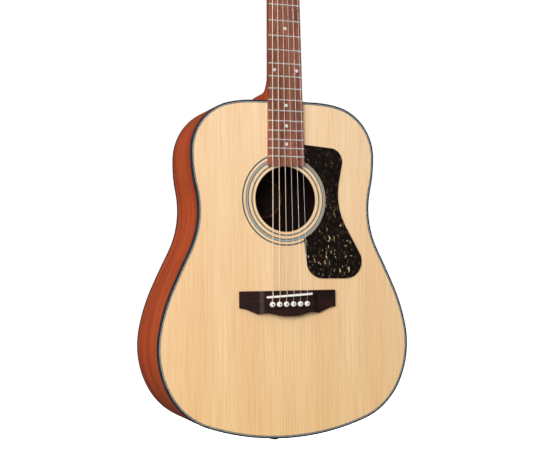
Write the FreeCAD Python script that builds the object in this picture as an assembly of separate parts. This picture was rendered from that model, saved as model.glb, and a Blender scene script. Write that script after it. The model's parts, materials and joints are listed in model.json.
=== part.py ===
import FreeCAD, Part
import math
import os

# A steel-string acoustic guitar, in millimetres.
# Frame: +Z runs up the neck, -Y is the outward normal of the soundboard, +X is the treble side.
# The origin is the nut line on the centreline, in the plane of the soundboard's face.

V = FreeCAD.Vector

# ---- scale and fingerboard ----
scale_length = 648.0
fret_count = 20
joint_fret = 14
nut_width = 44.5
nut_thickness = 5.5
fingerboard_end_width = 57.4
fingerboard_tongue = 14.0        # fingerboard beyond the last fret
fingerboard_thickness = 6.5
fingerboard_radius = 406.0
fret_height = 1.0
fret_width = 2.2
fret_tang_width = 0.6
fret_tang_depth = 2.0
dot_radius = 2.5
dot_depth = 1.5
octave_dot_offset = 18.0
single_dot_frets = [3, 5, 7, 9, 15, 17, 19]

# ---- body outline: radius and sweep of each tangent arc of one half, neck joint to lower corner ----
# A negative sweep bends the other way, at the waist. One more arc closes the tail on the centreline.
outline_arcs = [
    (2370.0, 1.25),
    (174.0, 11.8),
    (77.0, 77.0),
    (215.0, 13.8),
    (135.0, -40.8),
    (1310.0, 2.7),
    (258.0, 13.9),
    (134.0, 40.8),
    (105.5, 40.2),
]
body_depth_neck = 88.0
body_depth_tail = 129.8
back_radius = 2200.0

# ---- body woods ----
soundboard_thickness = 2.8
back_thickness = 2.6
side_thickness = 2.2
binding_height = 6.0
purfling_line = 0.5
purfling_depth = 1.2
lining_width = 5.5
lining_height = 14.0
strip_width = 18.0
strip_height = 2.0
neck_block_width = 76.0
neck_block_length = 48.0
tail_block_width = 72.0
tail_block_length = 18.0
tail_wedge_width = 14.0
label_radius = 30.5
label_thickness = 0.3
label_from_hole = (6.5, 8.5)
label_margin = 4.0

# ---- soundhole and rosette ----
soundhole_radius = 48.8
soundhole_gap = 0.4              # fingerboard end to the soundhole's edge
rosette_rings = [(52.7, 54.9), (59.0, 63.8), (67.3, 69.5)]
rosette_depth = 0.9

# ---- pickguard: corners and corner radii from the soundhole's centre ----
pickguard_thickness = 1.5
pickguard_ring = 64.4
pickguard_corners = [
    (29.0, 82.5, 0.0),
    (97.0, 76.5, 20.0),
    (79.5, -9.0, 100.0),
    (141.0, -119.3, 26.0),
    (34.0, -118.2, 26.0),
    (28.0, -58.0, 0.0),
]

# ---- bracing ----
brace_width = 8.0
brace_height = 14.0
brace_end_height = 3.0
brace_taper = 50.0
x_brace_angle = 43.0
transverse_width = 10.0
transverse_from_joint = 69.0
finger_width = 6.0
finger_height = 9.0
hole_brace_gap = 5.0
bridge_plate_thickness = 2.5
bridge_plate_length = 42.0
plate_gap = 0.3
back_brace_width = 8.0
back_brace_height = 15.0
back_brace_low_width = 15.0
back_brace_low_height = 8.0

# ---- bridge: corners and corner radii of the treble half, from the bridge line ----
bridge_thickness = 9.0
bridge_wing_thickness = 3.6
bridge_flat_half = 40.0
bridge_scoop = 9.0
bridge_corners = [
    (76.2, 5.3, 0.6),
    (76.2, -19.2, 0.6),
    (66.0, -20.8, 40.0),
    (48.6, -28.6, 0.6),
    (35.0, -26.0, 45.0),
    (13.0, -32.2, 45.0),
]
saddle_thickness = 3.0
saddle_half_length = 35.0
saddle_slot_depth = 4.5
saddle_top = 12.2
saddle_compensation = (-3.9, -0.1)    # bass end and treble end, from the scale line
pin_row = -14.6                       # pin row, from the scale line
pin_spacing = 11.06
pin_shaft_radius = 2.65
pin_hole_clearance = 0.05
pin_head_radius = 4.2
pin_head_height = 4.6
pin_length = 24.0
flute_half_width = 1.0
flute_inner = 1.4
slot_reach = 3.3
slot_ramp = 3.4

# ---- strings, low to high ----
string_radii = [0.67, 0.53, 0.41, 0.31, 0.21, 0.16]
wound_count = 4
nut_string_spacing = 6.72
saddle_string_spacing = 10.98
nut_string_height = 8.0
nut_height = 9.2
ball_radius = 2.0
ball_length = 3.4
ball_waist_radius = 1.45
ball_waist_width = 1.6
string_loop_radius = 2.3
string_bend = 1.4
string_run_out = 250.0           # degrees of post that each fixed string end wraps

# ---- neck ----
neck_depth_nut = 14.5
neck_depth_joint = 17.0
neck_roundness = 2.3             # superellipse exponent of the neck's back
tenon_half_front = 9.0
tenon_half_back = 13.0
tenon_length = 16.0
tenon_depth = 75.0
heel_start = 5.0                 # depth where the heel starts to grow out of the shaft
heel_nose = 23.3                 # how far its end stands in front of the body
heel_sweep = 29.0                # the hollow curve from the shaft into the heel
heel_sweep_from = 16.0
heel_sweep_fade = 10.3
heel_half_end = 27.0
heel_cap_thickness = 2.5
heel_back_gap = 3.0

# ---- headstock, in its own tilted frame ----
headstock_tilt = 14.0
headstock_thickness = 14.0
headstock_start = 20.0
overlay_thickness = 1.5
headstock_corners = [
    (34.0, 37.0, 22.0),
    (36.0, 112.0, 80.0),
    (38.5, 176.0, 5.0),
    (16.0, 185.0, 24.0),
]
headstock_start_half = 26.0
headstock_crown = 181.0
rod_radius = 2.5
rod_depth = 7.0
rod_clearance = 0.05
rod_nut_radius = 3.5
rod_nut_length = 13.0
rod_nut_key = 2.0                # half the hexagon across its flats
rod_pocket_half = 5.2
cover_length = 46.0
cover_half_wide = 13.0
cover_half_narrow = 7.0
cover_thickness = 1.5

# ---- tuners ----
tuner_rows = [46.0, 87.0, 128.0]
tuner_offset = 27.0
post_radius = 3.0
post_rise = 13.8
post_waist = 0.35
running_clearance = 0.05
bushing_radius = 4.5
bushing_flange = 6.2
bushing_flange_thickness = 0.8
bushing_length = 8.0
coil_height = 6.4                # string centre above the headstock's wood
coil_gap = 0.15
coil_turns = 2
plate_thickness = 1.0
plate_half_width = 7.0
plate_below = 16.0
plate_above = 12.0
ear_inner = 5.2
ear_thickness = 1.6
ear_half = 3.2
gear_teeth = 18
gear_module = 0.6
gear_face = 3.4
gear_tooth_width = 0.72
worm_pitch_radius = 2.3
worm_axis_height = 4.2           # above the plate
worm_root_radius = 1.6
worm_length = 9.0
key_shaft_radius = 1.5
key_collar_radius = 2.3
key_collar = 1.0
button_start = 13.0
button_length = 15.0
button_width = 20.0
button_thickness = 7.0
button_corner = 5.5
button_edge = 2.6
screw_head_radius = 1.7
screw_head_height = 0.8
screw_shank_radius = 0.9
screw_length = 7.0

# ---- end pin ----
end_pin_depth = 60.0
end_pin_shaft_radius = 4.95
end_pin_hole_radius = 5.0
end_pin_shaft_length = 25.0
end_pin_profile = [(6.0, 0.05), (6.0, 2.0), (5.0, 4.5), (7.4, 8.0), (7.4, 9.5), (4.0, 10.7), (0.0, 11.0)]

# ---- derived stations along the neck ----


def fret_station(number):
    """Z of a fret, from the equal-tempered rule."""
    return -scale_length * (1.0 - 2.0 ** (-number / 12.0))


body_top = fret_station(joint_fret)
fingerboard_end = fret_station(fret_count) - fingerboard_tongue
hole_z = fingerboard_end - soundhole_gap - soundhole_radius
bridge_z = -scale_length
pin_z = bridge_z + pin_row
crossing_z = (hole_z - soundhole_radius + bridge_z) / 2.0
lining_inset = side_thickness + lining_width
heel_depth = body_depth_neck - heel_back_gap - heel_cap_thickness
nodes = {}


# ---- general shapes ----

def block(x0, x1, y0, y1, z0, z1):
    """A box between two corners."""
    return Part.makeBox(x1 - x0, y1 - y0, z1 - z0, V(x0, y0, z0))


def rod(radius, start, end):
    """A cylinder from one point to another."""
    return Part.makeCylinder(radius, (end - start).Length, start, end - start)


def tube(outer, inner, start, end):
    """A ring-shaped cylinder from one point to another."""
    return rod(outer, start, end).cut(rod(inner, start, end))


def turned(points, base, axis, sideways):
    """Turn a profile of (radius, distance) points about an axis."""
    corners = [base + sideways * radius + axis * along for radius, along in points]
    wire = Part.makePolygon(corners + [corners[0]])
    return Part.Face(wire).revolve(base, axis, 360)


def rounded_loop(corners, y=0.0):
    """A closed loop in a plane of constant Y, from (x, z, corner radius) corners."""
    edges = []
    starts = []
    ends = []
    count = len(corners)
    for index, (x, z, radius) in enumerate(corners):
        here = V(x, y, z)
        before = V(corners[index - 1][0], y, corners[index - 1][1]) - here
        after = V(corners[(index + 1) % count][0], y, corners[(index + 1) % count][1]) - here
        before.normalize()
        after.normalize()
        if radius <= 0.0:
            starts.append(here)
            ends.append(here)
            edges.append(None)
            continue
        half = before.getAngle(after) / 2.0
        middle = (before + after).normalize()
        centre = here + middle * (radius / math.sin(half))
        starts.append(here + before * (radius / math.tan(half)))
        ends.append(here + after * (radius / math.tan(half)))
        edges.append(Part.Arc(starts[-1], centre - middle * radius, ends[-1]).toShape())
    loop = []
    for index in range(count):
        if edges[index] is not None:
            loop.append(edges[index])
        following = starts[(index + 1) % count]
        if (following - ends[index]).Length > 1e-6:
            loop.append(Part.makeLine(ends[index], following))
    return Part.Wire(loop)


def slab(wire, y0, y1):
    """Extrude a loop drawn at Y = 0 between two Y values."""
    face = Part.Face(wire)
    face.translate(V(0, y0, 0))
    return face.extrude(V(0, y1 - y0, 0))


def mirrored(shape):
    """The bass-side copy of a treble-side shape."""
    return shape.mirror(V(0, 0, 0), V(1, 0, 0))


def mirrored_corners(corners):
    """A symmetric list of corners from its treble half, bass side last."""
    bass = [(-x, z, radius) for x, z, radius in reversed(corners)]
    return corners + bass


def fillet_path(points, radius):
    """Lines through the points, with an arc of one radius in each corner."""
    edges = []
    here = points[0]
    for index in range(1, len(points) - 1):
        corner = points[index]
        before = (points[index - 1] - corner).normalize()
        after = (points[index + 1] - corner).normalize()
        half = before.getAngle(after) / 2.0
        reach = radius / math.tan(half)
        middle = (before + after).normalize()
        centre = corner + middle * (radius / math.sin(half))
        start = corner + before * reach
        end = corner + after * reach
        edges.append(Part.makeLine(here, start))
        edges.append(Part.Arc(start, centre - middle * radius, end).toShape())
        here = end
    edges.append(Part.makeLine(here, points[-1]))
    return edges


def oval_section(place, half_width, depth, roundness):
    """A flat-topped section: a superellipse below a straight line. place maps (u, v) to a point."""
    steps = 14
    points = []
    for step in range(steps + 1):
        angle = math.pi * step / steps
        across = math.cos(angle)
        u = math.copysign(abs(across) ** (2.0 / roundness), across) * half_width
        v = abs(math.sin(angle)) ** (2.0 / roundness) * depth
        points.append(place(u, v))
    curve = Part.BSplineCurve()
    curve.interpolate(points)
    return Part.Wire([curve.toShape(), Part.makeLine(points[-1], points[0])])


# ---- body outline and back dome ----

def outline_half(inset):
    """Arc points (start, middle, end) of the treble half of the outline, moved inwards."""
    x, z, heading = 0.0, body_top - inset, 0.0
    arcs = []
    for radius, sweep in outline_arcs:
        side = math.copysign(1.0, sweep)
        moved = radius - side * inset
        turn = math.radians(sweep)
        centre_x = x - side * moved * math.sin(heading)
        centre_z = z - side * moved * math.cos(heading)
        points = []
        for share in (0.0, 0.5, 1.0):
            angle = heading + turn * share
            across = side * moved * math.sin(angle)
            along = side * moved * math.cos(angle)
            points.append((centre_x + across, centre_z + along))
        arcs.append(points)
        x, z = points[-1]
        heading += turn
    closing = x / math.sin(heading)
    centre_z = z - closing * math.cos(heading)
    middle = (heading + math.pi) / 2.0
    tail = (0.0, centre_z - closing)
    arcs.append([(x, z), (closing * math.sin(middle), centre_z + closing * math.cos(middle)), tail])
    return arcs


def outline_wire(inset):
    """The whole body outline, moved inwards."""
    treble = []
    bass = []
    for first, middle, last in outline_half(inset):
        points = [V(x, 0, z) for x, z in (first, middle, last)]
        treble.append(Part.Arc(*points).toShape())
        points = [V(-x, 0, z) for x, z in (last, middle, first)]
        bass.append(Part.Arc(*points).toShape())
    return Part.Wire(treble + bass[::-1])


def plan(inset, y0, y1):
    """The body's plan, moved inwards, between two depths."""
    return slab(outline_wire(inset), y0, y1)


def ring(outer_inset, inner_inset, y0, y1):
    """A band that follows the body outline."""
    return plan(outer_inset, y0, y1).cut(plan(inner_inset, y0 - 1.0, y1 + 1.0))


tail_z = outline_half(0.0)[-1][-1][1]
deep = max(body_depth_neck, body_depth_tail) + 40.0


def dome(thickness):
    """The ball whose far side is the back's outer surface, moved inwards by a thickness."""
    start = V(0, body_depth_neck, body_top)
    end = V(0, body_depth_tail, tail_z)
    chord = end - start
    normal = V(0, -chord.z, chord.y).normalize()
    if normal.y > 0:
        normal = normal * -1.0
    drop = math.sqrt(back_radius ** 2 - (chord.Length / 2.0) ** 2)
    centre = (start + end) * 0.5 + normal * drop
    return Part.makeSphere(back_radius - thickness, centre)


back_outer = dome(0.0)
back_binding_limit = dome(binding_height)
back_inner = dome(back_thickness)


# ---- neck mortise and blocks ----

def tenon():
    """The neck's dovetail tenon, wider inside the block."""
    overlap = 1.0
    corners = [
        (tenon_half_front, body_top + overlap, 0.0),
        (tenon_half_back, body_top - tenon_length, 0.0),
        (-tenon_half_back, body_top - tenon_length, 0.0),
        (-tenon_half_front, body_top + overlap, 0.0),
    ]
    return slab(rounded_loop(corners), 0.0, tenon_depth)


def end_pin_hole():
    """The hole that runs through the tail wedge and the tail block."""
    start = V(0, end_pin_depth, tail_z - 5.0)
    return rod(end_pin_hole_radius, start, start + V(0, 0, tail_block_length + 20.0))


def blocks():
    """The neck block and the tail block, inside the sides."""
    inside = plan(side_thickness, soundboard_thickness, deep).common(back_inner)
    half = neck_block_width / 2.0
    top = block(-half, half, 0, deep, body_top - side_thickness - neck_block_length, body_top)
    half = tail_block_width / 2.0
    bottom = block(-half, half, 0, deep, tail_z, tail_z + side_thickness + tail_block_length)
    neck_block = inside.common(top).cut(tenon())
    tail_block = inside.common(bottom).cut(end_pin_hole())
    return neck_block, tail_block


def sides():
    """The two bent sides and the wedge between them at the tail."""
    rib = ring(0.0, side_thickness, binding_height, deep).common(back_binding_limit)
    half = tail_wedge_width / 2.0
    wedge_zone = block(-half, half, 0, deep, tail_z - 5.0, tail_z + 20.0)
    wedge = rib.common(wedge_zone).cut(end_pin_hole())
    rib = rib.cut(wedge_zone).cut(tenon())
    treble = rib.common(block(0, 400, 0, deep, tail_z - 5.0, body_top + 5.0))
    bass = rib.common(block(-400, 0, 0, deep, tail_z - 5.0, body_top + 5.0))
    return bass, treble, wedge


def linings(neck_block, tail_block):
    """The glue strips along both edges of the sides, from block to block."""
    top = ring(side_thickness, lining_inset, soundboard_thickness, soundboard_thickness + lining_height)
    back = ring(side_thickness, lining_inset, 40.0, deep)
    back = back.common(back_inner).cut(dome(back_thickness + lining_height))
    half_neck = neck_block_width / 2.0
    half_tail = tail_block_width / 2.0
    neck_zone = block(-half_neck, half_neck, 0, deep, body_top - 60.0, body_top + 5.0)
    tail_zone = block(-half_tail, half_tail, 0, deep, tail_z - 5.0, tail_z + 60.0)
    top_ring = top.cut(neck_zone).cut(tail_zone)
    back_ring = back.cut(neck_zone).cut(tail_zone)
    return Part.makeCompound(top_ring.Solids + back_ring.Solids)


# ---- soundboard, bindings, rosette ----

def edge_lines():
    """The black and white inlaid lines inside the binding, as two lists of rings."""
    black = []
    white = []
    for count in range(4):
        outer = side_thickness + purfling_line * count
        line = ring(outer, outer + purfling_line, 0.0, purfling_depth)
        (black if count % 2 else white).append(line)
    return black, white


def ring_about_hole(inner, outer, y0, y1):
    """A flat ring about the soundhole's axis."""
    return tube(outer, inner, V(0, y0, hole_z), V(0, y1, hole_z))


def pin_places():
    """X of each bridge pin, bass side first."""
    return [(index - 2.5) * pin_spacing for index in range(6)]


def pin_cutters(y0, y1):
    """The pin holes and string slots through the bridge, the soundboard and the plate."""
    tools = []
    for x in pin_places():
        tools.append(rod(pin_shaft_radius + pin_hole_clearance, V(x, y0, pin_z), V(x, y1, pin_z)))
        tools.append(block(x - flute_half_width, x + flute_half_width, y0, y1, pin_z, pin_z + slot_reach))
    return tools


def soundboard():
    """The spruce top with its soundhole, inlay channels and pin holes."""
    board = plan(side_thickness, 0.0, soundboard_thickness)
    channel = ring(side_thickness, side_thickness + 4.0 * purfling_line, -1.0, purfling_depth)
    tools = [channel, tenon()]
    tools.append(rod(soundhole_radius, V(0, -1, hole_z), V(0, soundboard_thickness + 1, hole_z)))
    for inner, outer in rosette_rings:
        tools.append(ring_about_hole(inner, outer, -1.0, rosette_depth))
    board = board.cut(tools)
    return board.cut(pin_cutters(-1.0, soundboard_thickness + 1.0))


def pickguard():
    """The plate beside the soundhole, cut round the rosette's middle ring."""
    corners = [(x, hole_z + z, radius) for x, z, radius in pickguard_corners]
    plate = slab(rounded_loop(corners), -pickguard_thickness, 0.0)
    hole = rod(pickguard_ring, V(0, -pickguard_thickness - 1, hole_z), V(0, 1, hole_z))
    return plate.cut(hole)


# ---- bracing ----

def reach(point, direction):
    """Where a straight brace from a point meets the inside of the linings."""
    face = Part.Face(outline_wire(lining_inset))
    crossing = face.common(Part.makeLine(point, point + direction * 700.0))
    nearest = min(crossing.Edges, key=lambda edge: (edge.CenterOfMass - point).Length)
    ends = [vertex.Point for vertex in nearest.Vertexes]
    return max(ends, key=lambda end: (end - point).Length)


def brace(start, end, width, height):
    """A brace under the soundboard with tapered ends, clipped to the linings."""
    along = end - start
    length = along.Length
    along.normalize()
    across = V(along.z, 0, -along.x)
    taper = min(brace_taper, length / 3.0)
    profile = [
        (0.0, 0.0), (length, 0.0), (length, brace_end_height), (length - taper, height),
        (taper, height), (0.0, brace_end_height),
    ]
    base = start + V(0, soundboard_thickness, 0) - across * (width / 2.0)
    corners = [base + along * s + V(0, rise, 0) for s, rise in profile]
    face = Part.Face(Part.makePolygon(corners + [corners[0]]))
    return face.extrude(across * width).common(plan(lining_inset, 0.0, deep))


def x_brace():
    """Two long braces, halved into each other where they cross."""
    bars = []
    for side in (1.0, -1.0):
        angle = math.radians(x_brace_angle)
        direction = V(side * math.sin(angle), 0, math.cos(angle))
        centre = V(0, 0, crossing_z)
        first = reach(centre, direction * -1.0)
        last = reach(centre, direction)
        bars.append(brace(first, last, brace_width, brace_height))
    middle = soundboard_thickness + brace_height / 2.0
    near = block(-400, 400, 0, middle, tail_z, 0)
    first = bars[0].cut(bars[1].common(near))
    second = bars[1].cut(first)
    return Part.makeCompound([first, second])


def leg_half_gap(z):
    """Half the room between the lower legs of the X at a station."""
    angle = math.radians(x_brace_angle)
    return (crossing_z - z) * math.tan(angle) - brace_width / 2.0 / math.cos(angle) - plate_gap


def bridge_plate():
    """The hard plate under the bridge, between the legs of the X."""
    front = bridge_z + bridge_corners[0][1] + 5.0
    rear = front - bridge_plate_length
    front_half = leg_half_gap(front)
    rear_half = leg_half_gap(rear)
    corners = [
        (front_half, front, 0.0), (rear_half, rear, 0.0), (-rear_half, rear, 0.0), (-front_half, front, 0.0),
    ]
    y1 = soundboard_thickness + bridge_plate_thickness
    plate = slab(rounded_loop(corners), soundboard_thickness, y1)
    return plate.cut(pin_cutters(soundboard_thickness - 1.0, y1 + 1.0)), rear


def top_braces(plate_rear):
    """The transverse brace, the hole braces, the finger braces and the two tone bars."""
    bars = []
    z = body_top - transverse_from_joint
    treble = reach(V(0, 0, z), V(1, 0, 0))
    bars.append(brace(V(-treble.x, 0, z), treble, transverse_width, brace_height))
    x = soundhole_radius + hole_brace_gap + finger_width / 2.0
    start = V(x, 0, z - transverse_width / 2.0 - plate_gap)
    angle = math.radians(x_brace_angle)
    stop = crossing_z + x / math.tan(angle) + brace_width / 2.0 / math.sin(angle) + finger_width
    end = V(x, 0, stop)
    hole_bar = brace(end, start, finger_width, finger_height)
    bars += [hole_bar, mirrored(hole_bar)]
    for from_crossing, rise in ((10.0, 0.25), (-30.0, -0.1)):
        z = crossing_z + from_crossing
        inner = abs(from_crossing) * math.tan(angle) + brace_width + finger_width
        start = V(inner + 12.0, 0, z)
        direction = V(1.0, 0, rise).normalize()
        bar = brace(start, reach(start, direction), finger_width, finger_height)
        bars += [bar, mirrored(bar)]
    room = plate_rear - (tail_z + tail_block_length)
    for share, treble_share, bass_share, fall in ((0.10, 0.80, 0.78, 0.33), (0.40, 0.80, 0.36, 0.33)):
        z_start = plate_rear - room * share
        start = V(leg_half_gap(z_start) * treble_share, 0, z_start)
        span = leg_half_gap(z_start) * (treble_share + bass_share)
        end = start + V(-span, 0, -span * fall)
        bars.append(brace(start, end, finger_width + 1.0, brace_height - 3.0))
    return Part.makeCompound(bars)


def back_bracing():
    """Four ladder braces on the back and the strip along its centre joint."""
    stations = [
        (body_top - 62.0, back_brace_width, back_brace_height),
        (body_top - 205.0, back_brace_width, back_brace_height),
        (body_top - 285.0, back_brace_low_width, back_brace_low_height),
        (body_top - 395.0, back_brace_low_width, back_brace_low_height),
    ]
    inside = plan(lining_inset, 40.0, deep).common(back_inner)
    bars = []
    for z, width, height in stations:
        bar = inside.common(block(-400, 400, 0, deep, z - width / 2.0, z + width / 2.0))
        bars.append(bar.cut(dome(back_thickness + height)))
    half = strip_width / 2.0
    top = body_top - side_thickness - neck_block_length
    bottom = tail_z + side_thickness + tail_block_length
    strip = block(-half, half, 40.0, deep, bottom, top).common(back_inner)
    strip = strip.cut(dome(back_thickness + strip_height))
    label_z = hole_z + label_from_hole[1]
    room = label_radius + label_margin
    strip = strip.cut(block(-half - 1.0, half + 1.0, 0, deep, label_z - room, label_z + room))
    return Part.makeCompound(bars + strip.cut(bars).Solids)


def label():
    """A round paper label on the inside of the back, seen through the soundhole."""
    x = label_from_hole[0]
    z = hole_z + label_from_hole[1]
    disc = rod(label_radius, V(x, 40, z), V(x, deep, z)).common(back_inner)
    return disc.cut(dome(back_thickness + label_thickness))


# ---- neck, fingerboard, frets ----

def board_half(z):
    """Half the fingerboard's width at a station."""
    return (nut_width + (fingerboard_end_width - nut_width) * z / fingerboard_end) / 2.0


def board_plan(y0, y1):
    """The fingerboard's tapered plan between two heights."""
    corners = [
        (board_half(0.0), 0.0, 0.0), (board_half(fingerboard_end), fingerboard_end, 0.0),
        (-board_half(fingerboard_end), fingerboard_end, 0.0), (-board_half(0.0), 0.0, 0.0),
    ]
    return slab(rounded_loop(corners), y0, y1)


board_axis = V(0, fingerboard_radius - fingerboard_thickness, 0)


def board_camber():
    """The round bar whose surface is the fingerboard's playing face."""
    start = board_axis + V(0, 0, fingerboard_end - 10.0)
    return Part.makeCylinder(fingerboard_radius, -fingerboard_end + 20.0, start, V(0, 0, 1))


def frets():
    """The fret wires: a round crown on a tang, bent to the board's radius."""
    half = fret_width / 2.0
    tang = fret_tang_width / 2.0
    surface = -fingerboard_thickness
    foot = surface + fret_tang_depth
    crown = Part.Arc(V(0, surface, -half), V(0, surface - fret_height, 0), V(0, surface, half)).toShape()
    turns = [V(0, surface, half), V(0, surface, tang), V(0, foot, tang), V(0, foot, -tang),
             V(0, surface, -tang), V(0, surface, -half)]
    lines = [Part.makeLine(turns[index], turns[index + 1]) for index in range(len(turns) - 1)]
    profile = Part.Face(Part.Wire([crown] + lines))
    spread = math.degrees(math.asin(fingerboard_end_width / 2.0 / fingerboard_radius)) + 0.5
    profile.rotate(board_axis, V(0, 0, 1), -spread)
    wire = profile.revolve(board_axis, V(0, 0, 1), 2.0 * spread)
    trim = board_plan(-fingerboard_thickness - 5.0, 5.0)
    made = []
    for number in range(1, fret_count + 1):
        one = wire.copy()
        one.translate(V(0, 0, fret_station(number)))
        made.append(one.common(trim))
    return made


def position_dots():
    """Round markers between the frets, flush with the playing face."""
    places = [(0.0, number) for number in single_dot_frets]
    places += [(-octave_dot_offset, 12), (octave_dot_offset, 12)]
    camber = board_camber()
    dots = []
    for x, number in places:
        z = (fret_station(number) + fret_station(number - 1)) / 2.0
        start = V(x, -fingerboard_thickness - 2.0, z)
        dots.append(rod(dot_radius, start, V(x, -fingerboard_thickness + dot_depth, z)).common(camber))
    return dots


def to_headstock(shape):
    """Move a shape from the headstock's own frame to the guitar's frame."""
    tilt = FreeCAD.Rotation(V(1, 0, 0), -headstock_tilt)
    moved = shape.copy()
    moved.Placement = FreeCAD.Placement(V(0, 0, nut_thickness), tilt).multiply(moved.Placement)
    return moved


def headstock_point(x, y, z):
    """A point of the headstock's frame, in the guitar's frame."""
    tilt = FreeCAD.Rotation(V(1, 0, 0), -headstock_tilt)
    return tilt.multVec(V(x, y, z)) + V(0, 0, nut_thickness)


def headstock_slab(start, start_half, y0, y1):
    """The headstock's plan between two heights, in its own frame."""
    corners = [(start_half, start, 0.0)] + headstock_corners
    loop = corners + [(0.0, headstock_crown, 30.0)] + [(-x, z, radius) for x, z, radius in reversed(corners)]
    return slab(rounded_loop(loop), y0, y1)


def tuner_places():
    """(x, z, side) of each string post, low string first. side is -1 on the bass side."""
    bass = [(-tuner_offset, z, -1.0) for z in tuner_rows]
    treble = [(tuner_offset, z, 1.0) for z in reversed(tuner_rows)]
    return bass + treble


def cover_screw_places():
    """(x, z) of the three screws of the truss rod cover."""
    return [(0.0, cover_length - 4.0), (-cover_half_wide + 4.0, 7.0), (cover_half_wide - 4.0, 7.0)]


def place_tuner(shape, x, z, side):
    """Move a shape from the tuner's frame (bass side, back of the headstock) to its place."""
    moved = shape.copy()
    if side > 0:
        moved.rotate(V(0, 0, 0), V(0, 1, 0), 180)
    moved.translate(V(x, headstock_thickness, z))
    return to_headstock(moved)


def screw(place, direction, drive):
    """A small round-head wood screw. place is under the head, drive is the slot's direction."""
    head = rod(screw_head_radius, place - direction * screw_head_height, place)
    shank = rod(screw_shank_radius, place, place + direction * (screw_length - 2.0))
    tip_start = place + direction * (screw_length - 2.0)
    tip = Part.makeCone(screw_shank_radius, 0.2, 2.0, tip_start, direction)
    across = direction.cross(drive)
    groove = Part.makeBox(2.0 * screw_head_radius + 1.0, 0.5, 0.5)
    groove.translate(V(-screw_head_radius - 0.5, -0.25, 0.0))
    rotation = FreeCAD.Rotation(drive, across, direction, "ZXY")
    head_face = FreeCAD.Placement(place - direction * screw_head_height, rotation)
    groove.Placement = head_face.multiply(groove.Placement)
    return head.fuse([shank, tip]).cut(groove)


def small_screws():
    """The tuner screws and the cover screws."""
    made = []
    for x, z, side in tuner_places():
        for along in (plate_above - 3.0, -plate_below + 3.0):
            one = screw(V(0, plate_thickness, along), V(0, -1, 0), V(1, 0, 0))
            made.append(place_tuner(one, x, z, side))
    for x, z in cover_screw_places():
        one = screw(V(x, -overlay_thickness - cover_thickness, z), V(0, 1, 0), V(1, 0, 0))
        made.append(to_headstock(one))
    return made


def rod_pocket():
    """The pocket in the headstock over the truss rod's nut, in the headstock's frame."""
    bottom = rod_depth + rod_nut_radius - 1.0
    return block(-rod_pocket_half, rod_pocket_half, -5.0, bottom, 3.0, cover_length - 9.0)


def neck(screws):
    """One piece of mahogany: shaft, heel, tenon and tilted headstock, with its bores."""
    def level(z):
        return lambda u, v: V(u, v, z)

    join = board_half(-20.0)
    shaft = Part.makeLoft([
        oval_section(level(body_top), board_half(body_top), neck_depth_joint, neck_roundness),
        oval_section(level(-20.0), join, neck_depth_nut, neck_roundness),
    ], True, True)
    transition = Part.makeLoft([
        oval_section(level(-20.0), join, neck_depth_nut, neck_roundness),
        oval_section(level(nut_thickness), nut_width / 2.0, neck_depth_nut + 1.0, neck_roundness + 0.4),
        oval_section(lambda u, v: headstock_point(u, v, headstock_start), headstock_start_half,
                     headstock_thickness, 9.0),
    ], True, True)
    slab_part = to_headstock(headstock_slab(headstock_start, headstock_start_half, 0.0, headstock_thickness))
    steps = 10
    sections = []
    for step in range(steps + 1):
        sections.append(heel_wire(heel_start + (heel_depth - heel_start) * (step / steps) ** 1.6))
    heel = Part.makeLoft(sections, True, False)
    body = plan(0.0, -5.0, deep)
    whole = shaft.fuse([transition, slab_part, heel]).cut(body).fuse(tenon()).removeSplitter()
    tools = [to_headstock(rod_pocket())]
    for x, z, side in tuner_places():
        tools.append(to_headstock(rod(bushing_radius, V(x, -5, z), V(x, headstock_thickness + 5, z))))
    tools.append(rod_channel())
    return whole.cut(tools + screws)


def heel_wire(y):
    """A heel section at one depth: a rounded nose standing out from the body's face."""
    inside = 3.0
    share = y / heel_depth
    half_width = board_half(body_top) * (1.0 - share) + heel_half_end * share
    nose = heel_nose + heel_sweep * math.exp((heel_sweep_from - y) / heel_sweep_fade)

    def place(u, v):
        return V(u, y, body_top - inside + v)

    return oval_section(place, half_width, nose + inside, 2.0)


def heel_cap():
    """The dark plate on the heel's end."""
    face = Part.Face(heel_wire(heel_depth))
    return face.extrude(V(0, heel_cap_thickness, 0)).cut(plan(0.0, 0.0, deep))


rod_start = body_top + 12.0
rod_nut_start = nut_thickness + 5.5
rod_end = rod_nut_start + 6.5


def rod_channel():
    """The channel under the fingerboard that holds the truss rod."""
    width = rod_radius
    return block(-width, width, 0.0, rod_depth + rod_radius, rod_start, nut_thickness + 8.0)


def truss_rod():
    """The steel rod with its anchor block, lying in the channel under a filler strip."""
    bar = rod(rod_radius, V(0, rod_depth, rod_start), V(0, rod_depth, rod_end))
    anchor = block(-rod_radius, rod_radius, 1.0, rod_depth + rod_radius, rod_start, rod_start + 12.0)
    return bar.fuse(anchor)


def truss_rod_nut():
    """The barrel nut on the rod's threaded end, with a hexagon socket."""
    start = V(0, rod_depth, rod_nut_start)
    end = start + V(0, 0, rod_nut_length)
    barrel = rod(rod_nut_radius, start, end)
    bore_end = V(0, rod_depth, rod_end + 0.5)
    bore = rod(rod_radius + rod_clearance, start, bore_end)
    corner = rod_nut_key / math.cos(math.radians(30.0))
    points = []
    for index in range(7):
        angle = math.radians(60.0 * index)
        points.append(V(corner * math.cos(angle), rod_depth + corner * math.sin(angle), bore_end.z))
    socket = Part.Face(Part.makePolygon(points)).extrude(V(0, 0, 20.0))
    return barrel.cut([bore, socket])


def truss_rod_cover(screws):
    """The bell-shaped plate over the truss rod pocket."""
    half = [
        (cover_half_wide, 2.0, 1.0), (cover_half_wide, 14.0, 6.0),
        (cover_half_narrow, 26.0, 12.0), (cover_half_narrow, cover_length, 5.0),
    ]
    y1 = -overlay_thickness
    plate = to_headstock(slab(rounded_loop(mirrored_corners(half)), y1 - cover_thickness, y1))
    return plate.cut(screws)


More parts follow.
